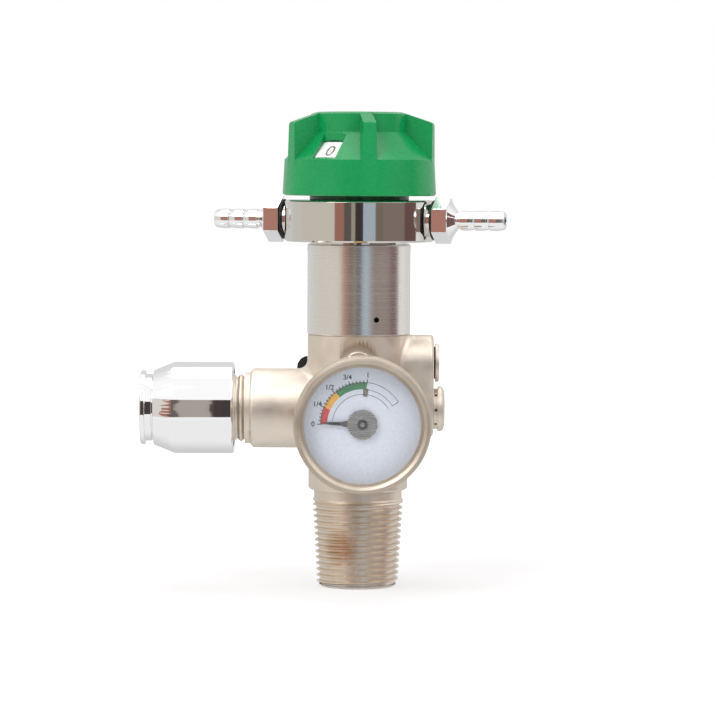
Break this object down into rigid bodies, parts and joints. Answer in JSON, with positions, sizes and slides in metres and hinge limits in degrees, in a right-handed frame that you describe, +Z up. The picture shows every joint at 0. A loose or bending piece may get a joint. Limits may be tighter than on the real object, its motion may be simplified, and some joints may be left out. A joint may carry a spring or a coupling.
{
  "type": "medical gas regulator",
  "caption": "Cylinder valve with built-in pressure regulator: tapered stem, contents gauge, quick outlet, hose barbs and green flow knob.",
  "frame": {"origin": "centre of the stem's bottom end face, at the mouth of the dip tube thread", "axes": "+Z up the stem, -X along the quick outlet, -Y towards the contents gauge"},
  "size_m": [0.1114, 0.0709, 0.1451],
  "materials": {
    "nickel_brass": "satin nickel plate over forged brass",
    "turned_steel": "fine turned finish",
    "bright_chrome": "polished",
    "plain_brass": "machined",
    "spring_steel": "drawn wire",
    "green_plastic": "moulded",
    "white_plastic": "moulded",
    "black_rubber": "moulded",
    "seat_nylon": "machined",
    "sintered_bronze": "sintered",
    "gauge_nickel": "satin nickel",
    "dial_white": "printed",
    "lens_clear": "clear",
    "pointer_black": "painted tip, bare disc"
  },
  "bodies": {
    "valve": {"valve_body": "nickel_brass", "inlet_filter": "sintered_bronze", "seat_nozzle": "plain_brass", "stem_guide": "plain_brass", "stem_seal": "black_rubber", "regulator_spring": "spring_steel", "bonnet": "turned_steel", "outlet_collar": "turned_steel", "selector_pad": "seat_nylon", "spindle_seal": "black_rubber", "detent_ball": "bright_chrome", "detent_spring": "spring_steel", "dial_base": "green_plastic", "flow_dial": "white_plastic", "hose_barb_left": "bright_chrome", "hose_barb_right": "bright_chrome", "barb_seal_left": "black_rubber", "barb_seal_right": "black_rubber", "side_plug": "nickel_brass", "side_plug_seal": "black_rubber", "relief_plug": "nickel_brass", "burst_disc": "plain_brass", "front_plug": "nickel_brass", "fill_connector": "nickel_brass", "fill_spring": "spring_steel", "coupling_body": "bright_chrome", "locking_balls": "bright_chrome", "probe_seal": "black_rubber", "nose_ring": "bright_chrome", "sleeve_spring": "spring_steel", "outlet_spring": "spring_steel", "gauge_socket": "plain_brass", "gauge_seal": "black_rubber", "gauge_case": "gauge_nickel", "gauge_bezel": "gauge_nickel", "gauge_lens": "lens_clear", "gauge_dial": "dial_white", "bearing_plate": "plain_brass", "pressure_tube": "plain_brass"},
    "selector": {"flow_knob": "green_plastic", "knob_cap": "green_plastic", "knob_screw": "turned_steel", "selector_spindle": "turned_steel", "orifice_plate": "plain_brass", "detent_plate": "spring_steel"},
    "piston": {"regulator_piston": "plain_brass", "seat_disc": "seat_nylon", "piston_seal": "black_rubber"},
    "sleeve": {"release_sleeve": "bright_chrome"},
    "outlet_valve": {"outlet_poppet": "plain_brass"},
    "fill_valve": {"fill_check": "plain_brass"},
    "cap": {"dust_cap": "black_rubber"},
    "pointer": {"gauge_pointer": "pointer_black", "pointer_arbor": "turned_steel"}
  },
  "joints": [
    {"name": "flow_knob_turn", "type": "hinge", "parent": "valve", "child": "selector", "pos_m": [0, 0, 0.12], "axis": [0, 0, 1], "range_deg": [0, 330]},
    {"name": "piston_stroke", "type": "slide", "parent": "valve", "child": "piston", "axis": [0, 0, 1], "range_m": [-0.0008, 0], "stiffness_N_per_m": 20000, "springref_m": 0.0008, "deforming": ["regulator_spring"]},
    {"name": "sleeve_release", "type": "slide", "parent": "valve", "child": "sleeve", "axis": [1, 0, 0], "range_m": [0, 0.0015], "stiffness_N_per_m": 2000, "springref_m": -0.002, "deforming": ["sleeve_spring"]},
    {"name": "outlet_valve_stroke", "type": "slide", "parent": "valve", "child": "outlet_valve", "axis": [1, 0, 0], "range_m": [0, 0.0015], "stiffness_N_per_m": 1000, "springref_m": -0.002, "deforming": ["outlet_spring"]},
    {"name": "fill_valve_stroke", "type": "slide", "parent": "valve", "child": "fill_valve", "axis": [0, -1, 0], "range_m": [0, 0.0015], "stiffness_N_per_m": 800, "springref_m": -0.002, "deforming": ["fill_spring"]},
    {"name": "dust_cap_pull", "type": "slide", "parent": "valve", "child": "cap", "axis": [0, 1, 0], "range_m": [0, 0.03]},
    {"name": "pointer_turn", "type": "hinge", "parent": "valve", "child": "pointer", "pos_m": [0.0013, -0.033, 0.052], "axis": [0, 1, 0], "range_deg": [0, 146], "stiffness_Nm_per_rad": 0.001, "springref_deg": -11.46}
  ]
}
